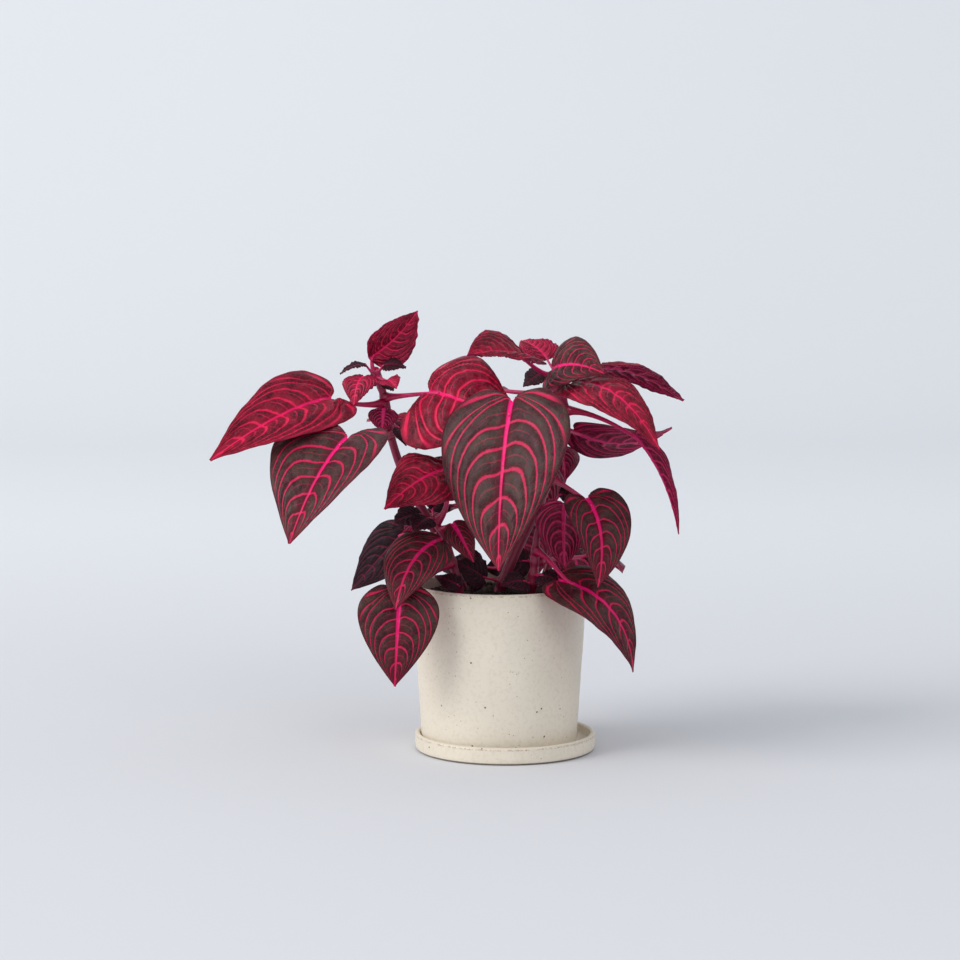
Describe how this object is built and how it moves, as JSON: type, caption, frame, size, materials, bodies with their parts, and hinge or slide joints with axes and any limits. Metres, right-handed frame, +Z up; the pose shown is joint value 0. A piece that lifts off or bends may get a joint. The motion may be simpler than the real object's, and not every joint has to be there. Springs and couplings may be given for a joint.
{
  "type": "potted bloodleaf plant",
  "caption": "Bushy red-leaved house plant with heart-shaped veined leaves on branching stems, rooted in potting soil in a tapered stoneware pot that stands on its saucer",
  "frame": {"origin": "the middle of the saucer's foot, on the surface it rests on", "axes": "+Z up; -Y is the side the plant turns to the room; +X to the right of someone who looks at that side"},
  "size_m": [0.2916, 0.2138, 0.2763],
  "materials": {
    "pot_stoneware": "satin",
    "saucer_stoneware": "satin",
    "soil": "matte",
    "stem": "satin",
    "mature_leaf": "satin",
    "red_leaf": "satin",
    "young_leaf": "satin",
    "shoot_tip": "matte"
  },
  "bodies": {
    "root": {"saucer": "saucer_stoneware", "pot": "pot_stoneware", "potting_soil": "soil", "left_stem": "stem", "right_stem": "stem", "low_left_stem": "stem", "low_right_stem": "stem", "back_stem": "stem", "low_back_stem": "stem", "far_left_leaf": "red_leaf", "left_heart_leaf": "mature_leaf", "left_inner_leaf": "red_leaf", "top_left_leaf": "young_leaf", "pink_left_leaf": "young_leaf", "small_left_leaf": "young_leaf", "left_wing_leaf": "shoot_tip", "right_wing_leaf": "shoot_tip", "hanging_left_leaf": "young_leaf", "upper_bud_leaf": "shoot_tip", "lower_bud_leaf": "shoot_tip", "left_back_leaf": "red_leaf", "front_leaf": "mature_leaf", "top_centre_leaf": "red_leaf", "top_back_leaf": "young_leaf", "top_right_leaf": "mature_leaf", "top_bud_leaf": "shoot_tip", "right_edge_leaf": "red_leaf", "right_red_leaf": "red_leaf", "drooping_leaf": "mature_leaf", "right_under_leaf": "mature_leaf", "dark_side_leaf": "mature_leaf", "right_heart_leaf": "mature_leaf", "right_back_leaf": "mature_leaf", "centre_back_leaf": "red_leaf", "inner_right_leaf": "mature_leaf", "low_right_leaf": "mature_leaf", "hanging_right_leaf": "mature_leaf", "shaded_right_leaf": "mature_leaf", "dark_bud_leaf": "shoot_tip", "middle_left_leaf": "red_leaf", "lower_left_leaf": "mature_leaf", "bottom_left_leaf": "mature_leaf", "grey_left_leaf": "shoot_tip", "hanging_tip_leaf": "mature_leaf", "rosette_left_leaf": "shoot_tip", "rosette_front_leaf": "shoot_tip", "rosette_right_leaf": "shoot_tip", "soil_left_leaf": "shoot_tip", "soil_right_leaf": "shoot_tip", "soil_middle_leaf": "shoot_tip", "soil_front_leaf": "shoot_tip", "back_top_leaf": "red_leaf", "back_left_leaf": "mature_leaf", "back_right_leaf": "mature_leaf", "back_low_leaf": "mature_leaf", "back_side_leaf": "mature_leaf", "back_bud_leaf": "shoot_tip", "low_back_leaf": "mature_leaf", "low_side_leaf": "red_leaf", "low_bud_leaf": "shoot_tip"}
  },
  "joints": []
}
